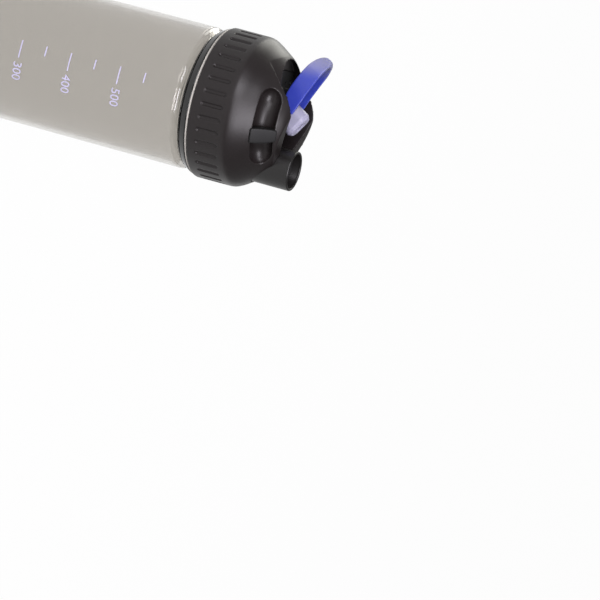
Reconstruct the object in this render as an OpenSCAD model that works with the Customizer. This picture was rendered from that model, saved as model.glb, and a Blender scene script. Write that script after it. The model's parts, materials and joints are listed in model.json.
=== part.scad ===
// Two-outlet travel water bottle: a clear bottle with a screw-on domed lid. The lid carries a
// flip cap over a soft mouthpiece on one side and a twist-open pouring nozzle on the other.
// +X is the nozzle side, -X is the side the open cap leans to, +Z is up. Units are millimetres.
// Heights inside the lid are measured from lid_z, the level where the lid meets the collar.

/* [Bottle] */
// Outside diameter of the bottle body
body_d = 73; // [70:0.5:80]
// Height of the lid seam above the table
lid_z = 182; // [120:1:240]
// Wall thickness of the bottle
wall = 2.2; // [1.6:0.1:2.6]
// Outside diameter of the neck
neck_d = 61.6; // [61:0.1:62]
// Height of the neck above the lid seam
neck_h = 14; // [10:0.5:14]

/* [Collar] */
// Largest diameter of the flared collar
collar_d = 75.4; // [72:0.2:77]
// Thickness of the pale seal between collar and lid
seal_t = 1.2; // [0.8:0.1:1.4]

/* [Lid] */
// Outside diameter of the lid
lid_d = 77.2; // [76.8:0.1:79]
// Height above the lid seam that the dome's outline would reach at its middle
lid_h = 49.6; // [49:0.1:51]
// Wall thickness of the lid shell
shell_t = 2.2; // [1.8:0.1:2.4]
// Number of grip slots round the skirt
grip_n = 36; // [24:1:40]
// Width of a grip slot
grip_w = 2; // [1.4:0.1:2.4]
// Length of a grip slot
grip_l = 11.5; // [8:0.5:12]
// Depth of a grip slot
grip_t = 0.9; // [0.5:0.1:1.1]

/* [Lanyard grooves] */
// Radius of the half-round groove in each cheek
groove_r = 5.8; // [5:0.1:6]
// Width of the bar that bridges the groove
bar_w = 6; // [5:0.5:8]

/* [Flip cap] */
// Width of the flip cap
cap_w = 13; // [12.6:0.1:14]
// Wall thickness of the flip cap
cap_t = 1.3; // [1:0.1:1.4]
// Diameter of the hinge pin
pin_d = 2.5; // [2:0.1:2.6]

/* [Mouthpiece] */
// Thickness of the soft mouthpiece across the lid
bite_w = 9.8; // [8.6:0.1:9.8]
// Forward lean of the mouthpiece in degrees
bite_lean = 31; // [24:1:33]

/* [Nozzle] */
// Outside diameter of the pouring nozzle
nozzle_d = 20.3; // [19.5:0.1:20.6]
// Bore of the pouring nozzle
nozzle_bore = 15.6; // [14.6:0.2:16.2]
// Height of the nozzle mouth above the lid seam
nozzle_top = 49.6; // [48:0.2:60]

/* [Hidden] */
$fn = 96;
body_r = body_d / 2;
neck_r = neck_d / 2;
neck_in = neck_r - 2.4;            // bore of the neck
collar_r = collar_d / 2;
lid_r = lid_d / 2;
skirt_z = seal_t + 0.3;            // lower edge of the lid skirt
liner_top = 19;                    // top face of the liner plate
floor_z = 31.5;                    // floor of the channel between the cheeks
lens_r = 58.65;                    // the channel is the overlap of two circles of this radius
lens_c = [-21.1, 37.6];
channel_end = -24.3;               // where the dome's flank closes the channel
nozzle_x = 23.2;
nozzle_r = nozzle_d / 2;
fit = 0.05;                        // radial clearance of a running fit
pin_at = [-13.2, 39.8];            // hinge pin, x and height
bite_at = [-5.7, 34.7];            // foot of the leaning mouthpiece, x and height
stem_x = bite_at[0];
port_r = 7.2;                      // half-round port under the nozzle
groove_at = [28, 37.2];            // centre of the groove's section, radius and height
groove_from = -108;                // turn of the groove's end behind the cap
groove_to = -50;                   // turn of its end at the nozzle
bar_turn = -71;                    // turn of the bar's middle

// A point on a smooth curve through a list of points
function curve_at(p, i, t) =
    let (a = p[max(i - 1, 0)], b = p[i], c = p[i + 1], d = p[min(i + 2, len(p) - 1)])
    0.5 * (2 * b + (c - a) * t + (2 * a - 5 * b + 4 * c - d) * t * t
        + (3 * b - a - 3 * c + d) * t * t * t);
function curve(p, n) =
    concat([for (i = [0:len(p) - 2], k = [0:n - 1]) curve_at(p, i, k / n)], [p[len(p) - 1]]);

// Dome outline from the skirt to the crown, as shares of the lid's radius and height
dome_shape = [[0.9974, 0.3831], [0.9896, 0.4335], [0.9534, 0.4940], [0.8964, 0.5645],
    [0.8238, 0.6512], [0.7332, 0.7440], [0.6321, 0.8387], [0.5233, 0.9234], [0.3523, 0.9798],
    [0.1554, 0.9980], [0, 1]];
function dome_line(in) =
    [for (q = curve(dome_shape, 2)) [max(q[0] * lid_r - in, 0), q[1] * lid_h - in]];

// Solid of revolution of the lid's outside, taken in by a distance
module dome(in = 0, low = 0) {
    rotate_extrude()
        polygon(concat([[0, low], [lid_r - in, low]], dome_line(in)));
}

// Everything above the crown, which falls away toward the nozzle
module crown(in = 0) {
    translate([0, 0, 46 - in]) rotate([0, 12.4, 0]) translate([-60, -60, 0]) cube([120, 120, 30]);
}

// The channel's outline in plan, grown by a distance
module lens(grow = 0) {
    intersection() {
        translate([lens_c[0], -lens_c[1]]) circle(r = lens_r + grow, $fn = 128);
        translate([lens_c[0], lens_c[1]]) circle(r = lens_r + grow, $fn = 128);
    }
}

// The channel's outline up to the flank of the dome that closes it behind the cap
module channel(grow = 0) {
    intersection() {
        lens(grow);
        translate([channel_end - grow, -40]) square([100, 80]);
    }
}

// A slot with round ends, standing up, for cutting
module stadium(l, w, t) {
    linear_extrude(t) union() {
        translate([0, (l - w) / 2]) circle(d = w, $fn = 16);
        translate([0, -(l - w) / 2]) circle(d = w, $fn = 16);
        square([w, l - w], center = true);
    }
}

// A tube between two heights
module tube(r1, r0, z0, z1) {
    translate([0, 0, z0]) difference() {
        cylinder(r = r1, h = z1 - z0);
        translate([0, 0, -1]) cylinder(r = r0, h = z1 - z0 + 2);
    }
}

// A round rod that follows the dome round the lid, between two turns
module groove_rod(r, from, to) {
    rotate([0, 0, from]) rotate_extrude(angle = to - from, $fn = 96)
        translate(groove_at) circle(r = r, $fn = 24);
}

// A ball in one end of the groove, for its rounded end
module groove_end(r, turn) {
    rotate([0, 0, turn]) translate([groove_at[0], 0, groove_at[1]]) sphere(r = r - 0.1, $fn = 24);
}

module bottle_body() {
    color([0.70, 0.68, 0.62, 0.45])
    rotate_extrude($fn = 128) difference() {
        polygon(concat(
            [[0, 2.6], [18, 2.2], [28, 0.8], [30.5, 0], [body_r - 3.6, 0]],
            [for (a = [10:16:90]) [body_r - 3.6 + 3.6 * sin(a), 3.6 - 3.6 * cos(a)]],
            [for (a = [0:16:80]) [body_r - 2.8 + 2.8 * cos(a), lid_z - 8.7 + 2.8 * sin(a)]],
            [[32, lid_z - 5.5], [neck_r, lid_z - 5.5], [neck_r, lid_z + neck_h - 0.6],
             [neck_r - 0.6, lid_z + neck_h], [0, lid_z + neck_h]]));
        polygon([[0, 2.6 + wall], [18, 2.2 + wall], [28, 1.2 + wall], [body_r - wall - 2, 2.6 + wall],
             [body_r - wall, 5.6 + wall], [body_r - wall, lid_z - 12.2],
             [body_r - wall - 0.4, lid_z - 10.7], [body_r - wall - 1.5, lid_z - 9.6],
             [body_r - wall - 3, lid_z - 9.2], [neck_in + 1, lid_z - 8.7],
             [neck_in + 0.3, lid_z - 8.3], [neck_in, lid_z - 7.4],
             [neck_in, lid_z + neck_h - 0.5], [neck_in + 0.5, lid_z + neck_h + 1],
             [0, lid_z + neck_h + 1]]);
    }
}

// Flared ring that stands on the bottle's shoulder and closes the foot of the neck
module neck_collar() {
    color([0.05, 0.05, 0.05])
    translate([0, 0, lid_z]) rotate_extrude($fn = 128)
        polygon([[neck_r + 0.1, -5.45], [33.9, -5.45], [34.9, -4.9], [36.1, -3.4],
            [collar_r - 0.6, -1.6], [collar_r - 0.1, -0.6], [collar_r - 0.1, -0.2],
            [collar_r - 0.3, 0], [neck_r + 0.1, 0]]);
}

module collar_seal() {
    color([0.72, 0.71, 0.66])
    translate([0, 0, lid_z]) rotate_extrude($fn = 128)
        polygon([[33.8, 0], [collar_r - 0.4, 0], [collar_r + 0.1, 0.3],
            [collar_r + 0.1, seal_t - 0.2], [collar_r - 0.1, seal_t], [33.8, seal_t]]);
}

// Ring under the liner plate that the rim of the neck presses on
module neck_gasket() {
    color([0.85, 0.85, 0.86])
    translate([0, 0, lid_z]) rotate_extrude()
        polygon([[neck_in - 0.35, neck_h + 0.3], [neck_r + 0.2, neck_h + 0.3],
            [neck_r + 0.5, neck_h + 0.6], [neck_r + 0.5, 16.3], [neck_in - 0.35, 16.3]]);
}

// Threaded cup inside the lid: it screws on the neck and carries both outlets' ports
module lid_liner() {
    color([0.12, 0.12, 0.13])
    translate([0, 0, lid_z]) difference() {
        union() {
            tube(34.4, neck_r + 1.8, skirt_z + 0.5, 16.7);
            tube(lid_r - shell_t - fit, 34.2, skirt_z + 0.5, skirt_z + 2);
            tube(neck_in - 0.4, neck_in - 1.8, 12, 16.7);
            translate([0, 0, 16.6]) cylinder(r = lid_r - shell_t - 0.7, h = liner_top - 16.6);
            translate([nozzle_x, 0, 0]) intersection() {
                tube(12.6, 11.55, liner_top - 0.1, liner_top + 1.2);
                translate([-20, -20, 0]) cube([30.9, 40, 30]);
            }
            translate([stem_x, 0, 0]) tube(11, 9.3, liner_top - 0.1, liner_top + 1.2);
        }
        translate([nozzle_x, 0, 16]) half_port(4);
        translate([stem_x, 0, 16]) cylinder(r = 2.6, h = 4, $fn = 48);
        translate([-6, 18, 16]) cylinder(r = 1.5, h = 4, $fn = 32);
    }
}

// Half-round port on the inner side of the nozzle
module half_port(h) {
    intersection() {
        cylinder(r = port_r, h = h);
        translate([-20, -20, -1]) cube([19.4, 40, h + 2]);
    }
}

module liner_gasket() {
    color([0.85, 0.85, 0.86])
    translate([0, 0, lid_z]) intersection() {
        tube(lid_r - shell_t - 0.2, 34.9, liner_top, liner_top + 1);
        dome(shell_t + 0.1);
    }
}

// Domed outer shell with two cheeks, the channel between them and the nozzle's boss
module lid_shell() {
    color([0.17, 0.17, 0.18])
    translate([0, 0, lid_z]) difference() {
        union() {
            difference() {
                dome(0, skirt_z);
                difference() {
                    dome(shell_t, skirt_z - 1);
                    crown(shell_t);
                }
            }
            intersection() {
                dome(0.01, 18);
                union() {
                    translate([0, 0, floor_z - 2]) linear_extrude(30) difference() {
                        channel(1.8);
                        channel();
                    }
                    translate([nozzle_x, 0, 25]) cylinder(r = 12.3, h = 30);
                    for (m = [0, 1]) mirror([0, m, 0])
                        groove_rod(groove_r + 1.7, groove_from - 15, groove_to + 15);
                }
            }
            // ledge that the liner gasket and the liner plate press against
            intersection() {
                dome(0.01, 18);
                tube(38, 34.6, liner_top + 1, liner_top + 3);
            }
        }
        translate([0, 0, floor_z - 2]) linear_extrude(30) difference() {
            channel();
            translate([nozzle_x, 0]) circle(r = 12.3);
        }
        translate([0, 0, floor_z]) linear_extrude(30) channel();
        // seat that the open cap's back leans in
        translate([-21.5, -7.2, 39.35]) rotate([0, 25, 0]) translate([-8, 0, 0]) cube([8, 14.4, 6]);
        translate([nozzle_x, 0, 10]) cylinder(r = nozzle_r + fit, h = 60);
        translate([nozzle_x, 0, 10]) cylinder(r = 12.3, h = 15);
        for (m = [0, 1]) mirror([0, m, 0]) groove_rod(groove_r, groove_from, groove_to);
        for (m = [0, 1]) mirror([0, m, 0]) groove_end(groove_r, groove_from + 0.2);
        for (m = [0, 1]) mirror([0, m, 0]) groove_end(groove_r, groove_to - 0.2);
        crown();
        for (i = [0:grip_n - 1]) rotate([0, 0, 356.5 - 90 + (i + 0.5) * 360 / grip_n])
            translate([lid_r - grip_t, 0, 12]) rotate([90, 0, 90]) stadium(grip_l, grip_w, 3);
    }
}

// Rounded bar that bridges a cheek's groove and takes a cord or a clip
module lanyard_bar() {
    span = 2 * asin(bar_w / 2 / groove_at[0]);
    rotate([0, 0, bar_turn - span / 2]) rotate_extrude(angle = span) intersection() {
        translate(groove_at) circle(r = groove_r - 0.04, $fn = 64);
        difference() {
            polygon(concat([[0, 18], [lid_r + 0.7, 18]], dome_line(-0.7)));
            polygon(concat([[0, 16], [lid_r - 1.9, 16]], dome_line(1.9)));
        }
    }
}

module lanyard_bar_front() {
    color([0.12, 0.12, 0.13])
    translate([0, 0, lid_z]) lanyard_bar();
}

module lanyard_bar_back() {
    color([0.12, 0.12, 0.13])
    translate([0, 0, lid_z]) mirror([0, 1, 0]) lanyard_bar();
}

// Tray in the channel: floor, hinge post and socket of the mouthpiece
module channel_insert() {
    color([0.08, 0.08, 0.08])
    translate([0, 0, lid_z]) difference() {
        union() {
            translate([0, 0, floor_z - 2]) linear_extrude(2) channel(-fit);
            intersection() {
                dome(shell_t + 0.1, 16);
                translate([0, 0, floor_z - 4]) linear_extrude(2) channel(1.7);
            }
            // hinge post
            translate([pin_at[0], 0, 0]) {
                translate([-2.6, -2.7, floor_z - 0.5]) cube([5.2, 5.4, pin_at[1] - floor_z + 0.5]);
                translate([0, 2.7, pin_at[1]]) rotate([90, 0, 0]) cylinder(r = 2.6, h = 5.4, $fn = 48);
            }
            translate([stem_x, 0, 0]) tube(9.2, 7.6, liner_top, floor_z - 3);
        }
        translate([nozzle_x, 0, 20]) cylinder(r = 12.35, h = 30);
        translate([stem_x, 0, 20]) cylinder(r = 7.1, h = floor_z - 22);
        translate([stem_x, 0, 20]) cylinder(r = bite_w / 2 + fit, h = 20);
        translate([pin_at[0], 5, pin_at[1]]) rotate([90, 0, 0]) cylinder(r = pin_d / 2, h = 10, $fn = 48);
        // slots that the cap's two ears dip into as it swings
        for (y = [6.75, -5]) translate([pin_at[0], y, pin_at[1]]) rotate([90, 0, 0])
            cylinder(r = 10.25, h = 1.75, $fn = 96);
        // vent to the space above the liner
        translate([-19, 13.5, 20]) cylinder(r = 1, h = 20, $fn = 24);
    }
}

module hinge_pin() {
    color([0.75, 0.76, 0.78])
    translate([pin_at[0], 0, lid_z + pin_at[1]]) rotate([90, 0, 0])
        cylinder(r = pin_d / 2, h = cap_w - 1.2, center = true, $fn = 48);
}

// Side outline of the cap, open position, and of its hollow
cap_back = [[-13.2, 37.0], [-17.2, 38.2], [-21.5, 39.95], [-25.9, 42], [-29.8, 44.3],
    [-33.1, 46.7], [-35, 48.9], [-35.6, 51], [-35, 53.2], [-33.4, 54.6], [-31.4, 54.4]];
cap_root = [[-4.2, 42.8], [-5.2, 40.9], [-7.3, 39.1], [-9.8, 37.6]];
cap_line = concat(curve(cap_back, 3), [[-24.6, 51.3], [-14.5, 46.8]], cap_root);
function hollow_line(t) = let (c = curve(cap_back, 3), n = len(c)) concat(
    [for (i = [3:n - 1]) let (d = c[min(i + 1, n - 1)] - c[i - 1], e = d / norm(d))
        c[i] + t * [-e[1], e[0]] * -1],
    [c[n - 1] + [3.4, 4.5], [6, 50], [6, 30], [c[3][0] + 0.7, 30]]);

// Rounded far end of the cap, seen in plan along it
module cap_end(r) {
    translate([-28.8, 0, 47]) rotate([0, 25, 0]) union() {
        cylinder(r = r, h = 40, center = true);
        translate([0, -20, -20]) cube([40, 40, 40]);
    }
}

// Hollow flip cap with open root, standing open
module flip_cap() {
    color([0.25, 0.30, 0.72])
    translate([0, 0, lid_z]) difference() {
        intersection() {
            translate([0, cap_w / 2, 0]) rotate([90, 0, 0]) linear_extrude(cap_w) polygon(cap_line);
            cap_end(8.2);
        }
        intersection() {
            translate([0, cap_w / 2 - cap_t, 0]) rotate([90, 0, 0])
                linear_extrude(cap_w - 2 * cap_t) polygon(hollow_line(cap_t));
            cap_end(8.2 - cap_t);
        }
        translate([pin_at[0], 0, pin_at[1]]) rotate([90, 0, 0])
            cylinder(r = pin_d / 2 + fit, h = cap_w - 1.1, center = true, $fn = 48);
    }
}

// Soft pad on the cap's inside that pinches the mouthpiece shut
module cap_pad() {
    color([0.80, 0.79, 0.86])
    translate([-23.6, 0, lid_z + 42.6]) rotate([0, 25.5, 0])
        translate([-3.6, -3.6, 0]) cube([9, 7.2, 1.3]);
}

// Soft leaning mouthpiece with a flange that the clamp holds under the channel floor
module mouthpiece() {
    r = bite_w / 2;
    color([0.80, 0.78, 0.88])
    translate([0, 0, lid_z]) difference() {
        union() {
            translate([stem_x, 0, floor_z - 4]) cylinder(r = 7, h = 2);
            translate([stem_x, 0, floor_z - 2.1]) cylinder(r = r, h = 5);
            translate([bite_at[0], 0, bite_at[1]]) rotate([0, bite_lean, 0]) hull() {
                translate([0, 0, -1]) cylinder(r = r - 0.8, h = 1, $fn = 32);
                for (x = [-2.6, 2.05]) translate([x, 0, 0]) {
                    translate([0, 0, 5.6]) cylinder(r = r, h = 6.6, $fn = 32);
                    translate([0, 0, 13]) cylinder(r = r - 1.3, h = 1, $fn = 32);
                }
            }
        }
        translate([stem_x, 0, 20]) cylinder(r = 3.6, h = 15.5, $fn = 48);
        translate([bite_at[0], 0, bite_at[1]]) rotate([0, bite_lean, 0]) translate([0, 0, -2]) {
            for (x = [-2, 1.6]) translate([x, 0, 0]) cylinder(r = 1.3, h = 20, $fn = 24);
            translate([-2, -1.3, 0]) cube([3.6, 2.6, 20]);
        }
    }
}

module mouthpiece_stem() {
    color([0.12, 0.12, 0.13])
    translate([stem_x, 0, lid_z]) difference() {
        union() {
            translate([0, 0, liner_top]) cylinder(r = 7.4, h = 1.6, $fn = 64);
            translate([0, 0, liner_top]) cylinder(r = 3.55, h = 16, $fn = 48);
        }
        translate([0, 0, 10]) cylinder(r = 2.6, h = 40, $fn = 48);
    }
}

module mouthpiece_clamp() {
    color([0.12, 0.12, 0.13])
    translate([stem_x, 0, lid_z]) tube(7.5, 3.6, floor_z - 6.2, floor_z - 4);
}

// Mushroom valve that lets air in as the bottle empties
module vent_valve() {
    color([0.80, 0.79, 0.86])
    translate([-6, 18, lid_z]) difference() {
        union() {
            translate([0, 0, liner_top]) cylinder(r = 3.2, h = 0.9, $fn = 40);
            translate([0, 0, 15]) cylinder(r = 1.5, h = 5, $fn = 32);
            translate([0, 0, 14.6]) cylinder(r1 = 1.2, r2 = 2.3, h = 2, $fn = 32);
        }
        translate([0, 0, 15.6]) cylinder(r = 0.6, h = 8, $fn = 24);
    }
}

module valve_seat() {
    color([0.80, 0.79, 0.86])
    translate([nozzle_x, 0, lid_z + liner_top]) difference() {
        cylinder(r = 11.5, h = 1.5);
        translate([0, 0, -1]) half_port(4);
    }
}

// Open pouring nozzle; its lower disc covers or uncovers the port as it turns
module pour_nozzle() {
    b = nozzle_bore / 2;
    lip = (nozzle_r - b) / 2;
    color([0.12, 0.12, 0.12])
    translate([nozzle_x, 0, lid_z]) difference() {
        rotate_extrude() polygon(concat(
            [[0, 20.8], [11.3, 20.8], [11.9, 21.4], [11.9, 23.6], [11.4, 24.2], [nozzle_r, 24.2],
             [nozzle_r, 26.5], [8.9, 26.5], [8.9, 28.3], [nozzle_r, 28.3]],
            [for (a = [0:15:180]) [b + lip + lip * cos(a), nozzle_top - lip + lip * sin(a)]],
            [[b, nozzle_top - 10], [b, 22.6], [0, 22.6]]));
        translate([0, 0, 20]) half_port(4);
    }
}

module nozzle_washer() {
    color([0.75, 0.74, 0.72])
    translate([nozzle_x, 0, lid_z]) tube(12, nozzle_r + 0.1, 24.5, 25);
}

module nozzle_o_ring() {
    color([0.08, 0.08, 0.08])
    translate([nozzle_x, 0, lid_z + 27.4]) rotate_extrude()
        translate([(8.9 + nozzle_r + 0.04) / 2, 0]) circle(d = nozzle_r + 0.04 - 8.9, $fn = 24);
}

// Ribbed ring inside the nozzle that steadies the stream
module flow_insert() {
    b = nozzle_bore / 2;
    color([0.10, 0.10, 0.10])
    translate([nozzle_x, 0, lid_z + nozzle_top - 9.8]) {
        difference() {
            cylinder(r = b, h = 5);
            translate([0, 0, -1]) cylinder(r = b - 1, h = 7);
        }
        for (a = [0:60:120]) rotate([0, 0, a]) translate([-b + 0.5, -0.5, 0]) cube([2 * b - 1, 1, 3.6]);
        cylinder(r = 1.6, h = 4.2, $fn = 32);
    }
}

bottle_body();
neck_collar();
collar_seal();
neck_gasket();
lid_shell();
lid_liner();
liner_gasket();
channel_insert();
lanyard_bar_front();
lanyard_bar_back();
hinge_pin();
flip_cap();
cap_pad();
mouthpiece();
mouthpiece_stem();
mouthpiece_clamp();
vent_valve();
valve_seat();
pour_nozzle();
nozzle_washer();
nozzle_o_ring();
flow_insert();
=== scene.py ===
"""Studio scene of a two-outlet travel water bottle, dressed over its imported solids.

Lengths in this file are millimetres unless a name ends in _m; each finished piece is brought to
metres by MM when it is handed over. Heights on the lid are measured from LID_Z, the seam where
the lid meets the collar. +X is the nozzle side, -X is where the open cap leans.
"""

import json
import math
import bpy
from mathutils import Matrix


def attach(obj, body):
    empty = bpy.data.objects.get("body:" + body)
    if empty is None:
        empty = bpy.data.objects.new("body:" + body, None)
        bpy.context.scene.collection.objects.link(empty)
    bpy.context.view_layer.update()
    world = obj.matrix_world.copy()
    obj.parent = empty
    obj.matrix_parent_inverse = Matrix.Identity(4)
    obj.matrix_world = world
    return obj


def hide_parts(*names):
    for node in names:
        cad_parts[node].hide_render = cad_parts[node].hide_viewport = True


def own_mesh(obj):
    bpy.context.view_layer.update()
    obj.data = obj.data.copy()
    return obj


bl_info = {
    "name": "Travel Water Bottle",
    "version": (1, 0, 0),
    "blender": (4, 5, 0),
    "location": "3D View > Sidebar > Bottle",
    "description": "Builds the body, lid, flip cap, mouthpiece and nozzle of a travel bottle",
    "category": "Object",
}

import bmesh
import bpy
from bpy.props import FloatProperty, FloatVectorProperty, IntProperty, PointerProperty
from mathutils import Matrix, Vector

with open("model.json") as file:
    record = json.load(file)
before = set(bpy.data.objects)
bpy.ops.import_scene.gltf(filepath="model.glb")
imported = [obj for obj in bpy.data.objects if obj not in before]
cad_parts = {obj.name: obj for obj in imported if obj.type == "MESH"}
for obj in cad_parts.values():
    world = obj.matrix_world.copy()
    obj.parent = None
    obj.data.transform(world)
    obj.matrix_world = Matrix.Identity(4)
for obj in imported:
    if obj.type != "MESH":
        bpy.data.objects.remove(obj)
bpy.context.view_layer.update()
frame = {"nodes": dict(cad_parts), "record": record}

MM = 0.001
LID_Z = 182.0
BODY_R = 36.5
NECK_R = 30.8
NECK_TOP = LID_Z + 14.0
LID_R = 38.6
LID_H = 49.6
SKIRT_Z = 1.5
WALL = 2.2
FLOOR_Z = 31.5
NOZZLE_X = 23.2
NOZZLE_R = 10.15
NOZZLE_BORE = 7.8
NOZZLE_TOP = 49.6
PIN = (-13.2, 39.8)
THREAD_PITCH = 4.0
BOSS_R = 12.3
THREAD_Z = 3.6
# the channel's plan is the overlap of two circles; it ends in a third one behind the cap
LENS_R = 58.65
LENS_X = -21.1
LENS_Y = 37.6
CHANNEL_END = -24.3
POCKET_X = -10.3
POCKET_R = 20.0
# where the flank behind the cap tilts inwards, as (x, height), and by how many degrees
RAMP_AT = (-29.0, 31.0)
RAMP_LEAN = 8
CROWN_Z = 46.0
CROWN_FALL = 12.4
# the lanyard groove's line, as (distance from the axis, height), and its turns in degrees
GROOVE_AT = (28.0, 37.2)
GROOVE_ENDS = (-106, -50)
GROOVE_R = 5.8
GROOVE_BED_R = 7.5
BAR_TURN = -71
# the open cap leans back by this much about this point
CAP_LEAN = 25
CAP_MID = (-28.8, 47.0)

# outline of the dome from skirt to crown, as shares of the lid's radius and height
DOME = [(0.9974, 0.3831), (0.9896, 0.4335), (0.9534, 0.4940), (0.8964, 0.5645),
        (0.8238, 0.6512), (0.7332, 0.7440), (0.6321, 0.8387), (0.5233, 0.9234),
        (0.3523, 0.9798), (0.1554, 0.9980), (0.0, 1.0)]
# side outline of the open cap: its back from hinge to tip, and its root beyond the hinge
CAP_BACK = [(-13.2, 37.0), (-17.2, 38.2), (-21.5, 39.95), (-25.9, 42.0), (-29.8, 44.3),
            (-33.1, 46.7), (-35.0, 48.9), (-35.6, 51.0), (-35.0, 53.2), (-33.4, 54.6),
            (-31.4, 54.4)]
CAP_ROOT = [(-24.6, 51.3), (-14.5, 46.8), (-4.2, 42.8), (-5.2, 40.9), (-7.3, 39.1), (-9.8, 37.6)]


# ---------------------------------------------------------------- mesh helpers

def curve_points(points, steps):
    """Points along a smooth curve through the given ones."""
    out = []
    last = len(points) - 1
    for i in range(last):
        a, b, c, d = (Vector(points[min(max(k, 0), last)]) for k in (i - 1, i, i + 1, i + 2))
        for k in range(steps):
            t = k / steps
            out.append(0.5 * (2 * b + (c - a) * t + (2 * a - 5 * b + 4 * c - d) * t * t
                              + (3 * b - a - 3 * c + d) * t ** 3))
    out.append(Vector(points[last]))
    return [tuple(p) for p in out]


def arc(cx, cz, r, start, end, steps):
    """Points on an arc, angles in degrees."""
    out = []
    for k in range(steps + 1):
        a = math.radians(start + (end - start) * k / steps)
        out.append((cx + r * math.cos(a), cz + r * math.sin(a)))
    return out


def new_object(name, verts, faces):
    """An object of the scene from plain lists."""
    mesh = bpy.data.meshes.new(name)
    mesh.from_pydata([tuple(v) for v in verts], [], faces)
    mesh.update()
    obj = bpy.data.objects.new(name, mesh)
    bpy.context.scene.collection.objects.link(obj)
    return obj


def tidy_normals(obj, merge=1e-4, thin=0.0):
    """Merges doubles, dissolves edges shorter than thin and turns every face outwards."""
    bm = bmesh.new()
    bm.from_mesh(obj.data)
    bmesh.ops.remove_doubles(bm, verts=bm.verts, dist=merge)
    if thin:
        bmesh.ops.dissolve_degenerate(bm, edges=bm.edges, dist=thin)
    bmesh.ops.recalc_face_normals(bm, faces=bm.faces)
    bm.to_mesh(obj.data)
    bm.free()
    return obj


def lathe(name, outline, steps=192, x=0.0, z=0.0):
    """Solid of revolution of a closed outline of (radius, height) about a vertical axis at x."""
    verts, faces = [], []
    n = len(outline)
    for k in range(steps):
        a = 2 * math.pi * k / steps
        verts += [(x + r * math.cos(a), r * math.sin(a), h + z) for r, h in outline]
    for k in range(steps):
        nxt = (k + 1) % steps
        for i in range(n):
            j = (i + 1) % n
            faces.append((k * n + i, nxt * n + i, nxt * n + j, k * n + j))
    return tidy_normals(new_object(name, verts, faces), thin=1e-5)


def prism(name, outline, low, high, place=None):
    """Straight extrusion of a plane outline from low to high along Z, then moved by place."""
    n = len(outline)
    verts = [(x, y, low) for x, y in outline] + [(x, y, high) for x, y in outline]
    faces = [tuple(range(n - 1, -1, -1)), tuple(range(n, 2 * n))]
    faces += [(i, (i + 1) % n, n + (i + 1) % n, n + i) for i in range(n)]
    obj = new_object(name, verts, faces)
    if place is not None:
        obj.data.transform(place)
    return tidy_normals(obj)


def side_prism(name, outline, half):
    """Extrusion across the lid of an outline of (x, height), from -half to half in Y."""
    to_side = Matrix(((1, 0, 0, 0), (0, 0, -1, 0), (0, 1, 0, LID_Z), (0, 0, 0, 1)))
    return prism(name, outline, -half, half, to_side)


def rod(name, r, length, centre, axis="Z"):
    """Round rod about an axis, by its middle."""
    line = [(0, -length / 2), (r, -length / 2), (r, length / 2), (0, length / 2)]
    obj = lathe(name, line, steps=96)
    turn = {"Z": Matrix(), "X": Matrix.Rotation(math.pi / 2, 4, "Y"),
            "Y": Matrix.Rotation(math.pi / 2, 4, "X")}[axis]
    obj.data.transform(Matrix.Translation(centre) @ turn)
    return obj


def bent_rod(name, r, start, end, side, point=1.25):
    """Rod that follows the groove round the lid, with pointed ends; turns in degrees."""
    caps = [(-point * r * math.sin(math.radians(a)), r * math.cos(math.radians(a)))
            for a in range(84, 0, -12)]
    rings = [(start, back, radius) for back, radius in caps]
    rings += [(start + (end - start) * k / 32, 0.0, r) for k in range(33)]
    rings += [(end, -back, radius) for back, radius in reversed(caps)]
    verts, n = [], 48
    for turn, back, radius in rings:
        x, y = math.cos(math.radians(turn)), math.sin(math.radians(turn))
        for j in range(n):
            b = 2 * math.pi * j / n
            reach = GROOVE_AT[0] + radius * math.cos(b)
            verts.append((x * reach - y * back, -side * (y * reach + x * back),
                          LID_Z + GROOVE_AT[1] + radius * math.sin(b)))
    faces = [(k * n + j, k * n + (j + 1) % n, (k + 1) * n + (j + 1) % n, (k + 1) * n + j)
             for k in range(len(rings) - 1) for j in range(n)]
    faces += [tuple(range(n)), tuple(range(len(verts) - n, len(verts)))]
    return tidy_normals(new_object(name, verts, faces))


def apply_stack(obj):
    """Turns what the modifiers make into the object's own mesh and removes them."""
    graph = bpy.context.evaluated_depsgraph_get()
    graph.update()
    mesh = bpy.data.meshes.new_from_object(obj.evaluated_get(graph))
    old = obj.data
    obj.modifiers.clear()
    obj.data = mesh
    bpy.data.meshes.remove(old)
    return obj


def combine(obj, tool, how="DIFFERENCE"):
    """Exact boolean of obj with tool, which is used up."""
    mod = obj.modifiers.new("cut", "BOOLEAN")
    mod.operation = how
    mod.solver = "EXACT"
    mod.object = tool
    apply_stack(obj)
    mesh = tool.data
    bpy.data.objects.remove(tool)
    bpy.data.meshes.remove(mesh)
    return obj


def soften(obj, voxel, rounds, keep_share=1.0):
    """Even skin over a cut solid, with its edges eased as a moulding's are."""
    mod = obj.modifiers.new("skin", "REMESH")
    mod.mode = "VOXEL"
    mod.voxel_size = voxel
    mod = obj.modifiers.new("ease", "SMOOTH")
    mod.factor = 0.5
    mod.iterations = rounds
    if keep_share < 1:
        mod = obj.modifiers.new("thin", "DECIMATE")
        mod.ratio = keep_share
    return apply_stack(obj)


def from_solid(node, name):
    """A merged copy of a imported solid, in millimetres."""
    source = frame["nodes"][node]
    mesh = source.data.copy()
    obj = bpy.data.objects.new(name, mesh)
    bpy.context.scene.collection.objects.link(obj)
    mesh.materials.clear()
    place = source.matrix_world.copy()
    mesh.transform(Matrix.Scale(1 / MM, 4) @ place)
    return tidy_normals(obj, 2e-3)


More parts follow.
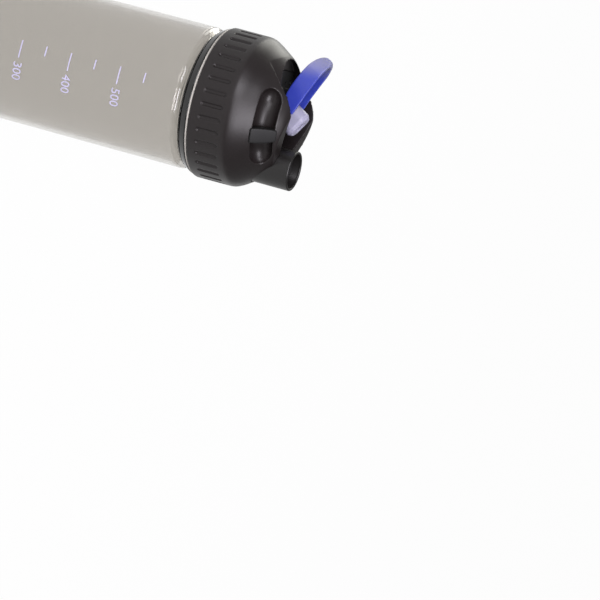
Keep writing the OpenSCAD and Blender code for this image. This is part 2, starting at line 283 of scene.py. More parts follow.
def hand_over(obj, body, slot, replaces=(), sharp=35, finish=None):
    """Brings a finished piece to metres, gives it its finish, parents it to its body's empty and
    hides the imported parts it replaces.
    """
    obj.data.transform(Matrix.Scale(MM, 4))
    obj.data.materials.clear()
    obj.data.materials.append(finishes()[finish or slot])
    for poly in obj.data.polygons:
        poly.material_index = 0
        poly.use_smooth = True
    if sharp:
        obj.data.set_sharp_from_angle(angle=math.radians(sharp))
    obj.data.update()
    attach(obj, body)
    if replaces:
        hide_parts(*replaces)
    return obj


# ---------------------------------------------------------------- shader maths

class Value:
    """A socket that can be used in arithmetic."""

    def __init__(self, maker, socket):
        self.maker, self.socket = maker, socket

    def _math(self, operation, a, b):
        return self.maker.add("ShaderNodeMath", {"operation": operation}, {0: a, 1: b})

    def __add__(self, other):
        return self._math("ADD", self, other)

    __radd__ = __add__

    def __mul__(self, other):
        return self._math("MULTIPLY", self, other)

    __rmul__ = __mul__


class Finish:
    """A material and the few calls that wire its nodes."""

    def __init__(self, name):
        self.material = bpy.data.materials.new(name)
        self.material.use_nodes = True
        self.tree = self.material.node_tree
        self.shader = self.tree.nodes["Principled BSDF"]
        self.output = self.tree.nodes["Material Output"]

    def add(self, kind, settings=None, inputs=None, out=0):
        """Any node: its settings first, then the values or links of its sockets."""
        node = self.tree.nodes.new(kind)
        for key, value in (settings or {}).items():
            if key == "stops":
                ramp = node.color_ramp
                while len(ramp.elements) < len(value):
                    ramp.elements.new(0.5)
                for stop, (place, colour) in zip(ramp.elements, value):
                    stop.position, stop.color = place, colour
            else:
                setattr(node, key, value)
        for key, value in (inputs or {}).items():
            self.feed(node.inputs[key], value)
        return Value(self, node.outputs[out])

    def feed(self, socket, value):
        if isinstance(value, Value):
            self.tree.links.new(value.socket, socket)
        else:
            socket.default_value = value

    def set(self, **sockets):
        for key, value in sockets.items():
            self.feed(self.shader.inputs[key.replace("_", " ")], value)
        return self

    def place(self):
        return self.add("ShaderNodeTexCoord", out="Object")

    def grain(self, scale, detail=2.0):
        """Soft noise over the piece, scale in cells per metre."""
        return self.add("ShaderNodeTexNoise", {},
                        {"Vector": self.place(), "Scale": scale, "Detail": detail}, out=0)

    def bump(self, height, depth_m, strength=1.0):
        return self.add("ShaderNodeBump", {},
                        {"Height": height, "Distance": depth_m, "Strength": strength}, out=0)

    def vary(self, low, high, by):
        """A number that runs from low to high as by runs from 0.3 to 0.7."""
        return self.add("ShaderNodeMapRange", {"clamp": True},
                        {"Value": by, "From Min": 0.3, "From Max": 0.7,
                         "To Min": low, "To Max": high}, out=0)

    def tone(self, low, high, by):
        """A colour between two, mixed by a factor."""
        return self.add("ShaderNodeMix", {"data_type": "RGBA"},
                        {0: by, 6: (*low, 1), 7: (*high, 1)}, out=2)


def moulded(name, colour, rough):
    """Moulded plastic: fine spark-eroded grain and slightly uneven gloss."""
    spread, grain_cells, grain_depth_m = 0.05, 2600.0, 2.5e-5
    f = Finish(name)
    coarse = f.grain(60.0, 3.0)
    f.set(Base_Color=f.tone([c * 0.92 for c in colour], [c * 1.08 for c in colour], coarse),
          Roughness=f.vary(rough - spread, rough + spread, coarse),
          Normal=f.bump(f.grain(grain_cells, 1.0), grain_depth_m))
    f.shader.inputs["IOR"].default_value = 1.4
    return f.material


def smooth_plastic(name, colour, rough):
    """Polished plastic without grain."""
    f = Finish(name)
    coarse = f.grain(45.0, 2.0)
    f.set(Base_Color=(*colour, 1), Roughness=f.vary(rough - 0.03, rough + 0.03, coarse))
    f.shader.inputs["IOR"].default_value = 1.5
    return f.material


def smoke_clear():
    """Clear smoke-tinted copolyester, with faint flow unevenness."""
    f = Finish("smoke_clear")
    f.set(Base_Color=(*settings().body.tint, 1),
          Normal=f.bump(f.grain(22.0, 1.0), 4e-5, 0.5))
    f.shader.inputs["Roughness"].default_value = 0.04
    f.shader.inputs["Transmission Weight"].default_value = 1.0
    f.shader.inputs["IOR"].default_value = 1.46
    return f.material


def cap_plastic():
    """Slightly see-through blue, deep at the root; toward the tip a painted reflection pales it,
    where the curved tip would catch the bright surroundings.
    """
    cap = settings().cap
    f = Finish("cap_blue")
    x = f.add("ShaderNodeSeparateXYZ", {}, {"Vector": f.place()}, out="X")
    # Painted reflection: toward the tip the deep blue is mixed into a paler grey-blue, in place of
    # the bright surroundings seen in the tip's curved face.
    thin = f.add("ShaderNodeMapRange", {"interpolation_type": "SMOOTHSTEP"},
                 {"Value": x, "From Min": -0.0225, "From Max": -0.0335}, out=0)
    f.set(Base_Color=f.tone(list(cap.colour), list(cap.tip_sheen_colour), thin),
          Roughness=f.vary(0.27, 0.35, f.grain(45.0, 2.0)))
    f.shader.inputs["Subsurface Weight"].default_value = 0.25
    f.shader.inputs["Subsurface Radius"].default_value = (0.3, 0.35, 1.0)
    f.shader.inputs["Subsurface Scale"].default_value = 0.002
    return f.material


def silicone(name, colour):
    """Milky silicone: light goes a little way in."""
    f = Finish(name)
    cloud = f.grain(90.0, 2.0)
    f.set(Base_Color=f.tone([c * 0.95 for c in colour], [min(c * 1.04, 1) for c in colour], cloud),
          Roughness=f.vary(0.36, 0.46, cloud))
    f.shader.inputs["Subsurface Weight"].default_value = 0.35
    f.shader.inputs["Subsurface Radius"].default_value = (1.0, 0.9, 1.1)
    f.shader.inputs["Subsurface Scale"].default_value = 0.003
    f.shader.inputs["IOR"].default_value = 1.41
    return f.material


def steel():
    f = Finish("pin_steel")
    brushed = f.add("ShaderNodeTexNoise", {}, {"Vector": f.add("ShaderNodeMapping", {},
                    {"Vector": f.place(), "Scale": (1, 60, 1)}), "Scale": 300.0}, out=0)
    f.set(Base_Color=(0.62, 0.63, 0.65, 1), Roughness=f.vary(0.22, 0.36, brushed))
    f.shader.inputs["Metallic"].default_value = 1.0
    return f.material


def finishes():
    """All the bottle's finishes, by material slot, made once."""
    if not FINISH:
        lid = settings().lid
        FINISH.update({
            "smoke_clear": smoke_clear(),
            "collar_gloss": smooth_plastic("collar_gloss", (0.003, 0.003, 0.003), 0.08),
            # The seal's pale grey is painted highlight: light caught along the edge at the seam.
            "pale_seal": moulded("pale_seal", (0.42, 0.40, 0.36), 0.5),
            "silicone": silicone("silicone", settings().mouthpiece.colour),
            "shell_black": moulded("shell_black", lid.colour, lid.rough),
            "liner_black": moulded("liner_black", (0.012, 0.012, 0.013), 0.42),
            # Darker than the shell: the insert's own black, deepened as painted shade for the deep
            # channel. The lanyard bars use it too.
            "insert_black": moulded("insert_black", (0.004, 0.004, 0.0042), 0.55),
            "pin_steel": steel(),
            "cap_blue": cap_plastic(),
            "nozzle_black": smooth_plastic("nozzle_black", (0.006, 0.0052, 0.005), 0.36),
            "o_ring_black": moulded("o_ring_black", (0.012, 0.012, 0.012), 0.6),
            "print_pale": moulded("print_pale", settings().body.print_colour, 0.5),
        })
    return FINISH


FINISH = {}


# ---------------------------------------------------------------- user settings

class BodySettings(bpy.types.PropertyGroup):
    tint: FloatVectorProperty(name="Smoke tint", description="Colour of the clear body",
                              subtype="COLOR", size=3, min=0, max=1, default=(0.63, 0.61, 0.58))
    print_colour: FloatVectorProperty(name="Print", description="Colour of the volume marks",
                                      subtype="COLOR", size=3, min=0, max=1,
                                      default=(0.43, 0.41, 0.57))
    thread_turns: FloatProperty(name="Thread turns", description="Turns of thread on the neck",
                                default=1.4, min=1.0, max=1.6)


class LidSettings(bpy.types.PropertyGroup):
    colour: FloatVectorProperty(name="Shell colour", description="Colour of the lid shell",
                                subtype="COLOR", size=3, min=0, max=1,
                                default=(0.0105, 0.0080, 0.0080))
    rough: FloatProperty(name="Shell roughness", description="How matte the shell is",
                         default=0.39, min=0.1, max=0.9)
    grips: IntProperty(name="Grip slots", description="Number of slots round the skirt",
                       default=36, min=24, max=40)
    skin: FloatProperty(name="Skin cell", description="Cell of the shell's skin in millimetres",
                        default=0.4, min=0.3, max=1.0)


class CapSettings(bpy.types.PropertyGroup):
    colour: FloatVectorProperty(name="Cap colour", description="Colour of the flip cap",
                                subtype="COLOR", size=3, min=0, max=1,
                                default=(0.030, 0.047, 0.34))
    # Painted reflection: the paler tone mixed into the cap toward its tip.
    tip_sheen_colour: FloatVectorProperty(name="Tip colour", description="Colour of the cap's thin tip",
                                    subtype="COLOR", size=3, min=0, max=1,
                                    default=(0.19, 0.195, 0.32))


class MouthpieceSettings(bpy.types.PropertyGroup):
    colour: FloatVectorProperty(name="Silicone colour", description="Colour of the soft parts",
                                subtype="COLOR", size=3, min=0, max=1,
                                default=(0.31, 0.305, 0.405))


class StageSettings(bpy.types.PropertyGroup):
    key_power: FloatProperty(name="Key light", description="Power of the main soft light",
                             subtype="POWER", default=15.0, min=0.0)
    fill_power: FloatProperty(name="Fill light", description="Power of the side light",
                              subtype="POWER", default=9.5, min=0.0)
    rim_power: FloatProperty(name="Rim light", description="Power of the light from behind",
                             subtype="POWER", default=5.0, min=0.0)


class BottleSettings(bpy.types.PropertyGroup):
    body: PointerProperty(type=BodySettings)
    lid: PointerProperty(type=LidSettings)
    cap: PointerProperty(type=CapSettings)
    mouthpiece: PointerProperty(type=MouthpieceSettings)
    stage: PointerProperty(type=StageSettings)


def settings():
    return bpy.context.scene.travel_bottle


# ---------------------------------------------------------------- shared forms

def dome_outline(inset, low, steps):
    """Closed outline of the lid's outside, taken in by inset."""
    line = [(max(r * LID_R - inset, 0.0) if r > 0 else 0.0, h * LID_H - inset + LID_Z)
            for r, h in curve_points(DOME, steps)]
    while len(line) > 2 and line[-2][0] <= 0:
        line.pop()
    return [(0.0, low + LID_Z), (LID_R - inset, low + LID_Z)] + line


def lens_outline(grow=0.0, steps=96):
    """Plan of the channel: the overlap of two circles."""
    radius = LENS_R + grow
    half = math.acos(LENS_Y / radius)
    near = [(LENS_X + radius * math.sin(a), -(radius * math.cos(a) - LENS_Y))
            for a in (half * (2 * k / steps - 1) for k in range(steps + 1))]
    far = [(x, -y) for x, y in reversed(near[1:-1])]
    return near + far


def channel_outline(grow=0.0):
    """The channel's plan up to the flank of the dome that closes it behind the cap."""
    end = CHANNEL_END - grow
    half = math.sqrt((LENS_R + grow) ** 2 - (end - LENS_X) ** 2) - LENS_Y
    return [(end, -half)] + [p for p in lens_outline(grow) if p[0] > end] + [(end, half)]


def pocket_outline(grow=0.0, steps=64):
    """The channel's plan above its floor: round behind the cap, a lens toward the nozzle."""
    radius = POCKET_R + grow
    end = [(POCKET_X + radius * math.cos(a), radius * math.sin(a))
           for a in (math.radians(92 + 176 * k / steps) for k in range(steps + 1))]
    return end + [p for p in lens_outline(grow) if p[0] > POCKET_X + 0.5]


def spiral_thread(name, r_root, r_crest, z_start, turns, root=1.0, crest=0.45, ends=30):
    """Helical ridge whose two ends run out into the wall."""
    steps = int(72 * turns)
    verts, faces = [], []
    for k in range(steps + 1):
        turn = 2 * math.pi * turns * k / steps
        grow = min(1.0, k / ends * 2, (steps - k) / ends * 2)
        grow = max(grow, 0.02)
        reach = r_root + (r_crest - r_root) * grow
        z = z_start + THREAD_PITCH * turns * k / steps
        for r, dz in ((r_root, -root), (reach, -crest), (reach, crest), (r_root, root)):
            verts.append((r * math.cos(turn), r * math.sin(turn), z + dz * (0.3 + 0.7 * grow)))
    for k in range(steps):
        for i in range(4):
            j = (i + 1) % 4
            faces.append((4 * k + i, 4 * k + j, 4 * k + 4 + j, 4 * k + 4 + i))
    faces += [(3, 2, 1, 0), (4 * steps, 4 * steps + 1, 4 * steps + 2, 4 * steps + 3)]
    return tidy_normals(new_object(name, verts, faces))


# ---------------------------------------------------------------- geometry nodes

def ring_of(name, item, material, count, first_deg):
    """Copies of an item turned evenly about the bottle's axis, made by Geometry Nodes."""
    tree = bpy.data.node_groups.new(name, "GeometryNodeTree")
    face = tree.interface
    face.new_socket("Geometry", in_out="INPUT", socket_type="NodeSocketGeometry")
    face.new_socket("Geometry", in_out="OUTPUT", socket_type="NodeSocketGeometry")
    count_in = face.new_socket("Count", in_out="INPUT", socket_type="NodeSocketInt")
    first_in = face.new_socket("First angle", in_out="INPUT", socket_type="NodeSocketFloat")
    nodes, link = tree.nodes, tree.links.new
    start, end = nodes.new("NodeGroupInput"), nodes.new("NodeGroupOutput")
    points = nodes.new("GeometryNodeMeshLine")
    points.inputs["Offset"].default_value = (0, 0, 0)
    link(start.outputs["Count"], points.inputs["Count"])
    index = nodes.new("GeometryNodeInputIndex")
    pitch = nodes.new("ShaderNodeMath")
    pitch.operation = "DIVIDE"
    pitch.inputs[0].default_value = 2 * math.pi
    link(start.outputs["Count"], pitch.inputs[1])
    angle = nodes.new("ShaderNodeMath")
    angle.operation = "MULTIPLY_ADD"
    link(index.outputs[0], angle.inputs[0])
    link(pitch.outputs[0], angle.inputs[1])
    link(start.outputs["First angle"], angle.inputs[2])
    turn = nodes.new("ShaderNodeCombineXYZ")
    link(angle.outputs[0], turn.inputs["Z"])
    place = nodes.new("GeometryNodeInstanceOnPoints")
    link(points.outputs["Mesh"], place.inputs["Points"])
    link(start.outputs["Geometry"], place.inputs["Instance"])
    link(turn.outputs[0], place.inputs["Rotation"])
    real = nodes.new("GeometryNodeRealizeInstances")
    link(place.outputs[0], real.inputs[0])
    paint = nodes.new("GeometryNodeSetMaterial")
    paint.inputs["Material"].default_value = material
    link(real.outputs[0], paint.inputs["Geometry"])
    link(paint.outputs[0], end.inputs[0])
    mod = item.modifiers.new("ring", "NODES")
    mod.node_group = tree
    mod[count_in.identifier] = count
    mod[first_in.identifier] = math.radians(first_deg)
    return apply_stack(item)


# ---------------------------------------------------------------- pieces

class BOTTLE_OT_body(bpy.types.Operator):
    """Clear body with its foot, shoulder and threaded neck"""
    bl_idname = "bottle.body"
    bl_label = "Body"

    def execute(self, context):
        r, w, bore = BODY_R, WALL, 28.4
        outer = [(0, 2.6), (9, 2.55), (18, 2.2), (25, 1.4), (28, 0.8), (29.6, 0.2), (30.5, 0)]
        outer += arc(r - 3.6, 3.6, 3.6, -90, 0, 10)
        outer += arc(r - 2.8, LID_Z - 8.7, 2.8, 0, 80, 10) + [(32.0, LID_Z - 5.5)]
        outer += [(NECK_R, LID_Z - 5.5), (NECK_R, NECK_TOP - 0.8)]
        outer += arc(NECK_R - 0.8, NECK_TOP - 0.8, 0.8, 15, 90, 4)
        inner = arc(bore + 0.8, NECK_TOP - 0.8, 0.8, 90, 165, 4)
        inner += [(bore, NECK_TOP - 0.8), (bore, LID_Z - 4.5)]
        inner += arc(29.8, LID_Z - 6.4, 1.4, 180, 250, 6)[1:]
        inner += arc(r - w - 2.4, LID_Z - 10.3, 2.4, 80, 0, 8)
        inner += [(r - w, 9.5)] + arc(r - w - 5, 9.0, 5, -4, -80, 8)
        inner += [(26, 3.75), (18, 2.2 + w), (0, 2.6 + w)]
        body = lathe("clear_body", outer + inner, steps=224)
        thread = spiral_thread("neck_thread", NECK_R - 0.3, 32.25, LID_Z + THREAD_Z,
                               settings().body.thread_turns)
        combine(body, thread, "UNION")
        hand_over(body, "bottle", "smoke_clear", ["bottle_body"])
        return {"FINISHED"}


class BOTTLE_OT_marks(bpy.types.Operator):
    """Printed volume scale: ticks every 50 ml and plain numbers every 100 ml"""
    bl_idname = "bottle.marks"
    bl_label = "Volume marks"

    # the height that 100 ml takes in the straight wall, and where the scale starts
    per_100ml = 27.05
    first = 7.0
    ink = 0.08
    left = -6.0
    digits_left = 5.0
    digit_size = 6.4

    def numeral(self, text, size):
        """Flat mesh of a number."""
        data = bpy.data.curves.new("numeral", "FONT")
        data.body = text
        data.size = size
        data.extrude = 0.04
        data.align_y = "CENTER"
        obj = bpy.data.objects.new("numeral", data)
        bpy.context.scene.collection.objects.link(obj)
        graph = bpy.context.evaluated_depsgraph_get()
        mesh = bpy.data.meshes.new_from_object(obj.evaluated_get(graph))
        bpy.data.objects.remove(obj)
        bpy.data.curves.remove(data)
        return mesh

    def wrap(self, mesh, x0, z0, radius):
        """Bends flat marks round the body; x runs round it, y up it, z outwards."""
        bm = bmesh.new()
        bm.from_mesh(mesh)
        for _ in range(3):
            long = [e for e in bm.edges if abs(e.verts[0].co.x - e.verts[1].co.x) > 1.2]
            if not long:
                break
            bmesh.ops.subdivide_edges(bm, edges=long, cuts=1)
        bmesh.ops.triangulate(bm, faces=bm.faces)
        for v in bm.verts:
            a = (v.co.x + x0) / radius
            r = radius + v.co.z
            v.co = Vector((r * math.sin(a), -r * math.cos(a), v.co.y + z0))
        bm.to_mesh(mesh)
        bm.free()
        return mesh

    def execute(self, context):
        bm = bmesh.new()
        radius = BODY_R + self.ink
        for step in range(2, 12):
            z = self.first + self.per_100ml * step / 2
            width = 9.0 if step % 2 == 0 else 5.0
            tick = bpy.data.meshes.new("tick")
            box = bmesh.new()
            bmesh.ops.create_cube(box, size=1.0,
                                  matrix=Matrix.Diagonal((width, 0.6, self.ink, 1)))
            box.to_mesh(tick)
            box.free()
            bm.from_mesh(self.wrap(tick, self.left + width / 2, z, radius))
            if step % 2 == 0:
                number = self.numeral(str(50 * step), self.digit_size)
                bm.from_mesh(self.wrap(number, self.digits_left, z, radius))
        mesh = bpy.data.meshes.new("volume_marks")
        bm.to_mesh(mesh)
        bm.free()
        marks = bpy.data.objects.new("volume_marks", mesh)
        context.scene.collection.objects.link(marks)
        tidy_normals(marks, 1e-4)
        hand_over(marks, "bottle", "smoke_clear", finish="print_pale")
        return {"FINISHED"}


class BOTTLE_OT_collar(bpy.types.Operator):
    """Glossy flared collar and the seal that lies on it, whose pale grey is painted highlight along
    the seam's edge
    """
    bl_idname = "bottle.collar"
    bl_label = "Collar and seal"

    def execute(self, context):
        flare = [(33.7, -5.5), (34.3, -5.35), (35.0, -4.8), (36.1, -3.4), (37.1, -1.6),
                 (37.6, -0.6), (37.6, -0.2), (37.4, 0)]
        line = [(NECK_R, -5.5)] + curve_points(flare, 4) + [(NECK_R, 0)]
        collar = lathe("flared_collar", line, steps=224, z=LID_Z)
        hand_over(collar, "bottle", "collar_gloss", ["neck_collar"])
        line = [(33.8, 0), (37.3, 0)] + arc(37.3, 0.6, 0.6, -80, 80, 8) + [(37.3, 1.2), (33.8, 1.2)]
        # Seam ring whose pale grey is painted highlight along the seam's edge.
        seal = lathe("seam_seal", line, steps=224, z=LID_Z)
        hand_over(seal, "bottle", "pale_seal", ["collar_seal"])
        return {"FINISHED"}


class BOTTLE_OT_shell(bpy.types.Operator):
    """Domed lid shell: two cheeks, the channel between them, lanyard grooves and grip slots"""
    bl_idname = "bottle.shell"
    bl_label = "Lid shell"

    def crown(self, inset):
        """All above the crown, which falls away toward the nozzle."""
        square = [(-60, -60), (60, -60), (60, 60), (-60, 60)]
        return prism("crown", square, 0, 30, Matrix.Translation((0, 0, LID_Z + CROWN_Z - inset))
                     @ Matrix.Rotation(math.radians(CROWN_FALL), 4, "Y"))

    def ramp(self):
        """Sinks the flank behind the cap a little, deeper toward the hinge."""
        x, z = RAMP_AT
        tilted = lathe("tilted", dome_outline(0.0, SKIRT_Z, 6), steps=192)
        tilted.data.transform(Matrix.Translation((x, 0, LID_Z + z))
                              @ Matrix.Rotation(math.radians(RAMP_LEAN), 4, "Y")
                              @ Matrix.Translation((-x, 0, -LID_Z - z)))
        plan = [p for p in lens_outline() if -40 < p[0] < -12]
        return combine(prism("ramp", plan, LID_Z + FLOOR_Z - 3, LID_Z + 60), tilted)

    def grip_cutters(self):
        """Ring of upright slots with round ends, 2 mm wide."""
        count = settings().lid.grips
        depth, middle, half_length, round_steps, seam_turn = 0.9, 12, 4.75, 24, 266.5
        slot = []
        for k in range(round_steps):
            a = 2 * math.pi * k / round_steps
            end = half_length if math.sin(a) >= 0 else -half_length
            slot.append((math.cos(a), math.sin(a) + end))
        upright = Matrix(((0, 0, 1, LID_R - depth), (1, 0, 0, 0), (0, 1, 0, LID_Z + middle),
                          (0, 0, 0, 1)))
        cutter = prism("grip_cutters", slot, 0, 3, upright)
        return ring_of("grip ring", cutter, finishes()["shell_black"], count,
                       seam_turn + 180 / count)

    def execute(self, context):
        shell = lathe("lid_dome", dome_outline(0.0, SKIRT_Z, 6), steps=256)
        hollow = lathe("hollow", dome_outline(WALL, SKIRT_Z - 1, 3), steps=128)
        combine(shell, self.crown(0))
        combine(hollow, self.crown(WALL))
        combine(hollow, prism("walls", channel_outline(1.8), LID_Z + FLOOR_Z - 2, LID_Z + 60))
        combine(hollow, prism("end_walls", pocket_outline(1.8), LID_Z + FLOOR_Z - 2, LID_Z + 60))
        combine(hollow, rod("boss", BOSS_R, 30, (NOZZLE_X, 0, LID_Z + 40)))
        for side in (-1, 1):
            combine(hollow, bent_rod("bed", GROOVE_BED_R, *GROOVE_ENDS, side))
        combine(shell, hollow)
        channel = prism("channel", channel_outline(), LID_Z + FLOOR_Z - 2.5, LID_Z + FLOOR_Z)
        pocket = prism("pocket", pocket_outline(), LID_Z + FLOOR_Z - 0.01, LID_Z + 60)
        combine(channel, pocket, "UNION")
        combine(channel, rod("boss_foot", BOSS_R, 6, (NOZZLE_X, 0, LID_Z + FLOOR_Z - 3)))
        combine(shell, channel)
        combine(shell, rod("nozzle_way", NOZZLE_R + 0.12, 60, (NOZZLE_X, 0, LID_Z + 40)))
        combine(shell, rod("flange_room", BOSS_R, 15, (NOZZLE_X, 0, LID_Z + 17.5)))
        for side in (-1, 1):
            combine(shell, bent_rod("groove", GROOVE_R, *GROOVE_ENDS, side))
        combine(shell, self.ramp())
        combine(shell, self.grip_cutters())
        soften(shell, settings().lid.skin, 3, keep_share=0.5)
        hand_over(shell, "lid", "shell_black", ["lid_shell"], sharp=0)
        return {"FINISHED"}


class BOTTLE_OT_bars(bpy.types.Operator):
    """Rounded bars that bridge the lanyard grooves"""
    bl_idname = "bottle.bars"
    bl_label = "Lanyard bars"

    def block(self, name, side, high, low, reach, half_turn):
        """Length of the groove's rod between two depths under the dome."""
        out = lathe(name, dome_outline(high, 18 - max(high, 0), 4), steps=256)
        combine(out, lathe("under", dome_outline(low, 16, 4), steps=256))
        length = bent_rod("reach", reach, BAR_TURN - half_turn, BAR_TURN + half_turn, side, 0.1)
        return combine(out, length, "INTERSECT")

    def execute(self, context):
        for side, node in ((-1, "lanyard_bar_front"), (1, "lanyard_bar_back")):
            bar = self.block("bar_" + node.rsplit("_", 1)[1], side, -0.9, 2.4, 7.0, 6.2)
            soften(bar, 0.3, 12)
            # The bars take the tray's darker black, which is partly painted shade.
            hand_over(bar, "lid", "insert_black", [node], sharp=0)
        return {"FINISHED"}


class BOTTLE_OT_insert(bpy.types.Operator):
    """Tray in the channel with the hinge post and the slots for the cap's ears"""
    bl_idname = "bottle.insert"
    bl_label = "Channel tray"

    def execute(self, context):
        tray = from_solid("channel_insert", "channel_tray")
        soften(tray, 0.33, 3, keep_share=0.6)
        # The tray's near-black is partly painted shade for the deep channel.
        hand_over(tray, "lid", "insert_black", ["channel_insert"], sharp=0)
        return {"FINISHED"}


class BOTTLE_OT_cap(bpy.types.Operator):
    """Hollow flip cap with rounded edges, its pad and its hinge pin"""
    bl_idname = "bottle.cap"
    bl_label = "Flip cap"

    def inner_line(self, back, t):
        """The back line moved inwards by a wall, closed far outside the rim."""
        out = []
        last = len(back) - 1
        start = next(i for i, p in enumerate(back) if p[0] < -16.6)
        for i in range(start, last + 1):
            a, b = Vector(back[max(i - 1, 0)]), Vector(back[min(i + 1, last)])
            along = (b - a).normalized()
            out.append((back[i][0] + t * along.y, back[i][1] - t * along.x))
        tip = out[-1]
        return out + [(tip[0] + 3.4, tip[1] + 4.5), (6, 52), (6, 30), (out[0][0] + 0.5, 30)]

    def end_plan(self, half, tip, length=10.5):
        """Long prism along the cap whose two sides curve together at its tip."""
        side = [(tip + length * s / 20, half * (1 - (1 - s / 20) ** 2)) for s in range(21)]
        plan = [(6, -half), (6, half)] + side[::-1] + [(x, -y) for x, y in side[1:]]
        x, z = CAP_MID
        tilt = (Matrix.Translation((x, 0, LID_Z + z))
                @ Matrix.Rotation(math.radians(CAP_LEAN), 4, "Y") @ Matrix.Translation((-x, 0, 0)))
        return prism("end_plan", plan, -25, 25, tilt)

    def execute(self, context):
        back = curve_points(CAP_BACK, 6)
        cap = side_prism("flip_cap_shell", back + curve_points(CAP_ROOT, 2), 6.5)
        combine(cap, self.end_plan(6.7, -37.2), "INTERSECT")
        soften(cap, 0.3, 8)
        hollow = side_prism("hollow", self.inner_line(back, 1.3), 5.2)
        combine(hollow, self.end_plan(5.25, -35.3, 9.5), "INTERSECT")
        combine(cap, hollow)
        combine(cap, rod("pin_way", 1.3, 11.9, (PIN[0], 0, LID_Z + PIN[1]), "Y"))
        soften(cap, 0.2, 6, keep_share=0.8)
        hand_over(cap, "cap", "cap_blue", ["flip_cap"], sharp=0)
        pad = from_solid("cap_pad", "pinch_pad")
        soften(pad, 0.2, 6)
        hand_over(pad, "cap", "silicone", ["cap_pad"], sharp=0)
        pin = lathe("hinge_axle", [(0, -5.9), (0.95, -5.9), (1.25, -5.6), (1.25, 5.6),
                                   (0.95, 5.9), (0, 5.9)], steps=48)
        pin.data.transform(Matrix.Translation((PIN[0], 0, LID_Z + PIN[1]))
                           @ Matrix.Rotation(math.pi / 2, 4, "X"))
        hand_over(pin, "lid", "pin_steel", ["hinge_pin"])
        return {"FINISHED"}


class BOTTLE_OT_mouthpiece(bpy.types.Operator):
    """Soft leaning mouthpiece"""
    bl_idname = "bottle.mouthpiece"
    bl_label = "Mouthpiece"

    def execute(self, context):
        piece = from_solid("mouthpiece", "bite_piece")
        soften(piece, 0.26, 10, keep_share=0.7)
        hand_over(piece, "lid", "silicone", ["mouthpiece"], sharp=0)
        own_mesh(piece)
        return {"FINISHED"}


class BOTTLE_OT_nozzle(bpy.types.Operator):
    """Open pouring nozzle with its rounded lip and flared mouth"""
    bl_idname = "bottle.nozzle"
    bl_label = "Pouring nozzle"

    def execute(self, context):
        b, lip = NOZZLE_BORE, 0.65
        line = [(0, 20.8), (11.3, 20.8), (11.7, 20.95), (11.9, 21.4), (11.9, 23.6), (11.7, 24.05),
                (11.4, 24.2), (NOZZLE_R, 24.2), (NOZZLE_R, 26.5), (8.9, 26.5), (8.9, 28.3),
                (NOZZLE_R, 28.3)]
        line += arc(NOZZLE_R - lip, NOZZLE_TOP - lip, lip, 0, 180, 18)
        flare = [(NOZZLE_R - 2 * lip, NOZZLE_TOP - lip - 0.4), (b + 0.7, NOZZLE_TOP - 3),
                 (b + 0.2, NOZZLE_TOP - 6), (b, NOZZLE_TOP - 9)]
        line += curve_points(flare, 4)
        line += [(b, 22.6), (0, 22.6)]
        nozzle = lathe("nozzle_tube", line, steps=160, x=NOZZLE_X, z=LID_Z)
        port = [(NOZZLE_X + 7.2 * math.cos(math.radians(a)), 7.2 * math.sin(math.radians(a)))
                for a in range(96, 265, 6)]
        combine(nozzle, prism("port", port, LID_Z + 20, LID_Z + 24))
        hand_over(nozzle, "nozzle", "nozzle_black", ["pour_nozzle"])
        return {"FINISHED"}


class BOTTLE_OT_liner(bpy.types.Operator):
    """Thread inside the lid and the finishes of the pieces that stay as packed"""
    bl_idname = "bottle.liner"
    bl_label = "Liner and small parts"

    def execute(self, context):
        thread = spiral_thread("liner_thread", 32.75, 31.15,
                               LID_Z + THREAD_Z + THREAD_PITCH / 2, 1.2)
        hand_over(thread, "lid", "liner_black")
        slots = {e["node"]: e["material_slot"] for e in frame["record"]["subparts"]}
        for node, obj in frame["nodes"].items():
            if not obj.hide_render:
                obj.data.materials.clear()
                obj.data.materials.append(finishes()[slots[node]])
        return {"FINISHED"}


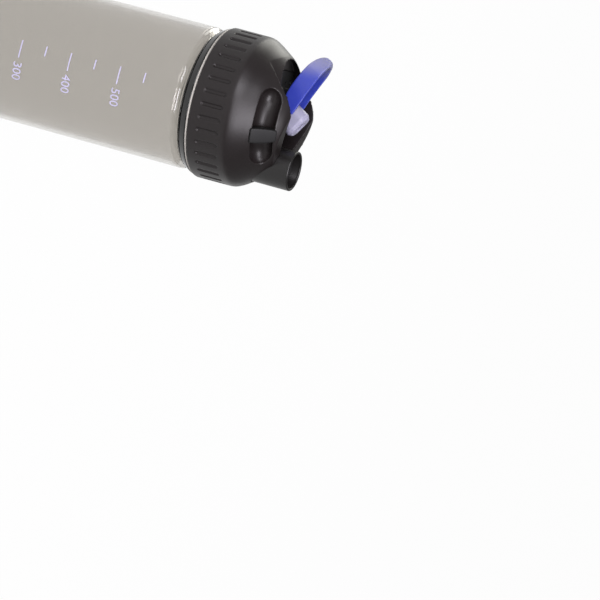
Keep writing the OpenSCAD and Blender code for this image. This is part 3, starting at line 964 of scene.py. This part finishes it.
class BOTTLE_OT_stage(bpy.types.Operator):
    """Pale floor, soft lights and the camera"""
    bl_idname = "bottle.stage"
    bl_label = "Stage"

    def floor(self):
        """Floor that looks white to the camera and still takes soft shade."""
        floor = new_object("floor", [(-4, -4, 0), (4, -4, 0), (4, 4, 0), (-4, 4, 0)],
                           [(0, 1, 2, 3)])
        f = Finish("floor_white")
        f.set(Base_Color=(0.86, 0.86, 0.86, 1), Roughness=0.8)
        path = f.add("ShaderNodeLightPath", out="Is Camera Ray")
        gloss = f.add("ShaderNodeLightPath", out="Is Glossy Ray")
        through = f.add("ShaderNodeLightPath", out="Is Transmission Ray")
        glow = f.add("ShaderNodeEmission", {}, {"Color": (1, 1, 1, 1), "Strength": 1.0})
        mix = f.add("ShaderNodeMixShader", {}, {0: (path + gloss + through) * 0.97,
                    1: Value(f, f.shader.outputs[0]), 2: glow})
        f.tree.links.new(mix.socket, f.output.inputs["Surface"])
        floor.data.materials.append(f.material)

    def light(self, name, place, aim, size, power, tone):
        """Oblong area light that faces a point."""
        data = bpy.data.lights.new(name, "AREA")
        data.shape = "RECTANGLE"
        data.size, data.size_y = size
        data.energy = power
        data.color = tone
        lamp = bpy.data.objects.new(name, data)
        bpy.context.scene.collection.objects.link(lamp)
        lamp.location = place
        lamp.rotation_euler = (Vector(aim) - Vector(place)).to_track_quat("-Z", "Y").to_euler()

    def world(self):
        """White surroundings, bright to the camera and dim as a light."""
        world = bpy.data.worlds.new("studio")
        bpy.context.scene.world = world
        world.use_nodes = True
        tree = world.node_tree
        back = tree.nodes["Background"]
        rays = tree.nodes.new("ShaderNodeLightPath")
        both = tree.nodes.new("ShaderNodeMath")
        both.operation = "ADD"
        tree.links.new(rays.outputs["Is Camera Ray"], both.inputs[0])
        tree.links.new(rays.outputs["Is Transmission Ray"], both.inputs[1])
        lift = tree.nodes.new("ShaderNodeMapRange")
        lift.inputs["To Min"].default_value = 0.3
        lift.inputs["To Max"].default_value = 1.0
        tree.links.new(both.outputs[0], lift.inputs["Value"])
        tree.links.new(lift.outputs[0], back.inputs["Strength"])
        back.inputs["Color"].default_value = (1, 1, 1, 1)

    def camera(self):
        """A long lens, tipped so that the bottle's axis falls to the right by 16 degrees."""
        roll, height, distance, span = math.radians(16), math.radians(16.5), 1.5, 0.3012
        across, along = 0.04257, 0.09935
        right = Vector((-math.sin(roll), math.sin(height) * math.cos(roll),
                        math.cos(height) * math.cos(roll)))
        down = Vector((math.cos(roll), math.sin(height) * math.sin(roll),
                       math.cos(height) * math.sin(roll)))
        back = Vector((0, -math.cos(height), math.sin(height)))
        turn = Matrix.Rotation(math.radians(-5), 3, "Z")
        right, down, back = turn @ right, turn @ down, turn @ back
        aim = Vector((0, 0, LID_Z * MM)) + right * across + down * along
        data = bpy.data.cameras.new("camera")
        data.lens = 36 * distance / span
        data.clip_start = 0.01
        data.clip_end = 30
        cam = bpy.data.objects.new("camera", data)
        bpy.context.scene.collection.objects.link(cam)
        spin = Matrix((right, -down, back)).transposed().to_4x4()
        cam.matrix_world = Matrix.Translation(aim + back * distance) @ spin
        bpy.context.scene.camera = cam

    def execute(self, context):
        s = settings().stage
        self.floor()
        self.world()
        aim = (0, 0, 0.17)
        self.light("key", (0.2, -0.84, 1.1), aim, (0.7, 0.45), s.key_power, (0.97, 0.93, 1))
        self.light("fill", (-0.6, -0.95, 0.75), aim, (0.5, 0.7), s.fill_power, (0.97, 0.94, 1))
        self.light("rim", (-0.85, 0.85, 0.3), (0, 0, 0.2), (0.9, 0.5), s.rim_power,
                   (1, 0.99, 0.92))
        self.camera()
        context.scene.view_settings.view_transform = "Standard"
        return {"FINISHED"}


PIECES = (BOTTLE_OT_body, BOTTLE_OT_marks, BOTTLE_OT_collar, BOTTLE_OT_shell, BOTTLE_OT_bars,
          BOTTLE_OT_insert, BOTTLE_OT_cap, BOTTLE_OT_mouthpiece, BOTTLE_OT_nozzle,
          BOTTLE_OT_liner, BOTTLE_OT_stage)


class BOTTLE_PT_panel(bpy.types.Panel):
    """Sidebar panel with the settings and one button for each group of pieces"""
    bl_idname = "BOTTLE_PT_panel"
    bl_label = "Travel bottle"
    bl_space_type = "VIEW_3D"
    bl_region_type = "UI"
    bl_category = "Bottle"

    def draw(self, context):
        s = context.scene.travel_bottle
        for group in (s.body, s.lid, s.cap, s.mouthpiece, s.stage):
            box = self.layout.box()
            for key in group.bl_rna.properties.keys():
                if key not in {"rna_type", "name"}:
                    box.prop(group, key)
        for piece in PIECES:
            self.layout.operator(piece.bl_idname)


CLASSES = (BodySettings, LidSettings, CapSettings, MouthpieceSettings, StageSettings,
           BottleSettings, *PIECES, BOTTLE_PT_panel)


def register():
    for cls in CLASSES:
        bpy.utils.register_class(cls)
    bpy.types.Scene.travel_bottle = PointerProperty(type=BottleSettings)


def unregister():
    del bpy.types.Scene.travel_bottle
    for cls in reversed(CLASSES):
        bpy.utils.unregister_class(cls)


def main():
    register()
    for piece in PIECES:
        group, name = piece.bl_idname.split(".")
        getattr(getattr(bpy.ops, group), name)()


if __name__ == "__main__":
    main()
